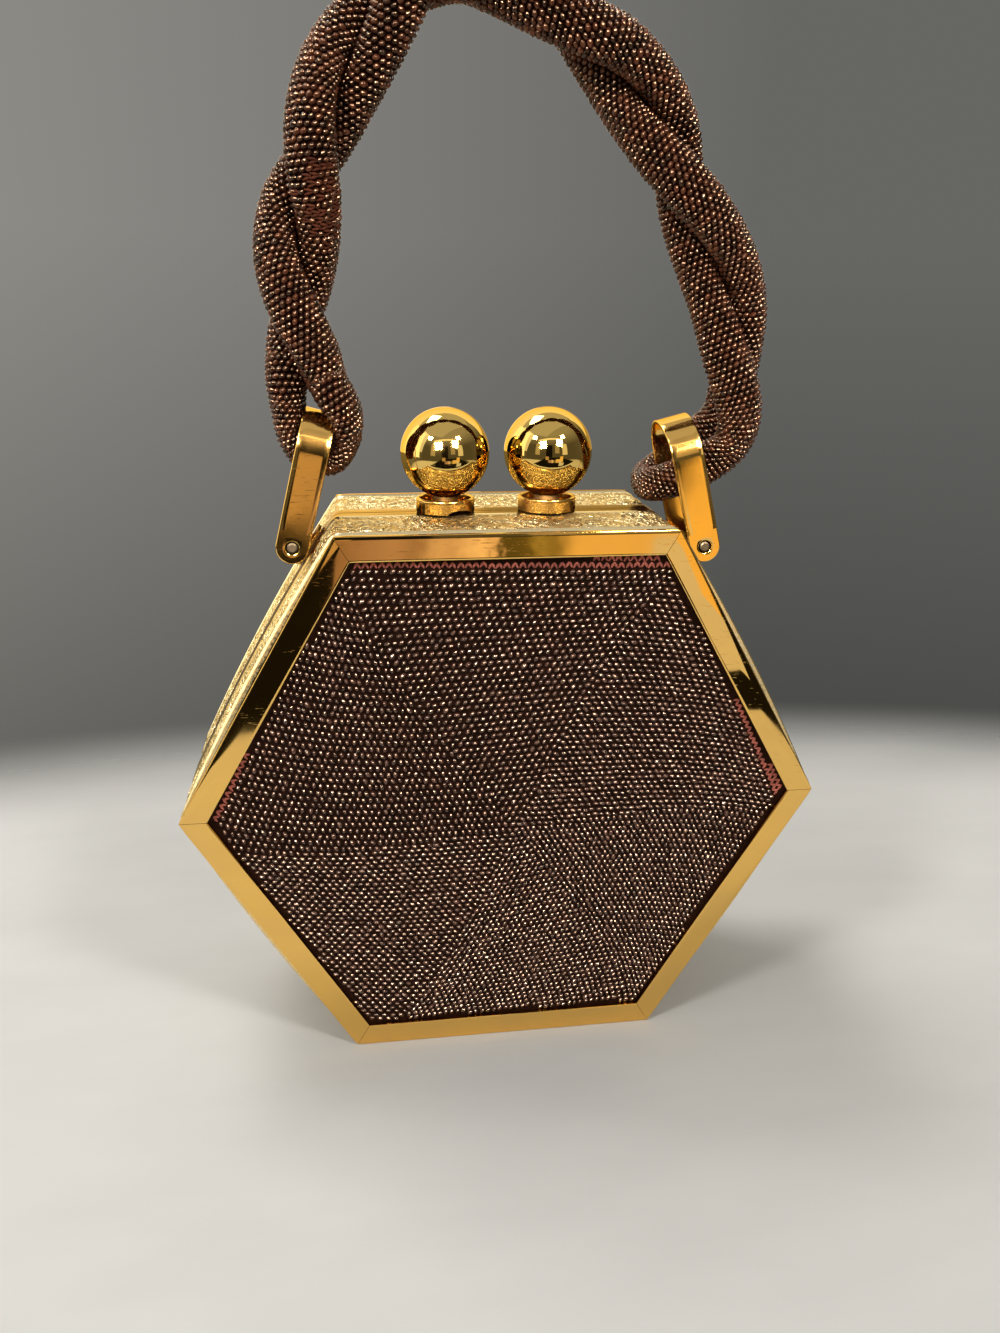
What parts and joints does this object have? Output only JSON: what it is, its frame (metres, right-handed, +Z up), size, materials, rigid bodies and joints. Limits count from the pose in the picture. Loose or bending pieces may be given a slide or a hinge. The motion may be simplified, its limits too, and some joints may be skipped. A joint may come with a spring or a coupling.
{
  "type": "hexagonal beaded box handbag",
  "caption": "Hinged six-sided metal box handbag with bead-worked faces, a snap clasp of ball knobs and a twisted bead-rope handle on riveted links.",
  "frame": {"origin": "middle of the base on the ground, under the middle of the bag", "axes": "+X to the right seen from the front, +Y from the front face to the back face, +Z up to the handle"},
  "size_m": [0.1794, 0.0584, 0.2987],
  "materials": {
    "gold_polished": "mirror-polished gold plate",
    "gold_embossed": "pale gold, stamped with leaf scrolls",
    "bead_cloth": "dark bronze glass seed beads on brown crochet",
    "bead_rope": "copper-brown glass seed beads on brown crochet",
    "rivet_steel": "dull grey metal"
  },
  "bodies": {
    "back_half": {"back_bezel": "gold_polished", "back_gusset": "gold_embossed", "back_bead_panel": "bead_cloth", "hinge_leaf_back": "gold_polished", "hinge_pin": "rivet_steel", "clasp_collar_left": "gold_polished", "clasp_ball_left": "gold_polished", "handle_lug_left": "gold_polished", "handle_lug_right": "gold_polished", "handle_link_left": "gold_polished", "handle_link_right": "gold_polished", "link_rivet_left": "rivet_steel", "link_rivet_right": "rivet_steel", "handle_rope": "bead_rope"},
    "front_half": {"front_bezel": "gold_polished", "front_gusset": "gold_embossed", "front_bead_panel": "bead_cloth", "hinge_leaf_front": "gold_polished", "clasp_collar_right": "gold_polished", "clasp_ball_right": "gold_polished"}
  },
  "joints": [
    {"name": "opening", "type": "hinge", "parent": "back_half", "child": "front_half", "pos_m": [0, 0, 0.0018], "axis": [1, 0, 0], "range_deg": [0, 70]}
  ]
}
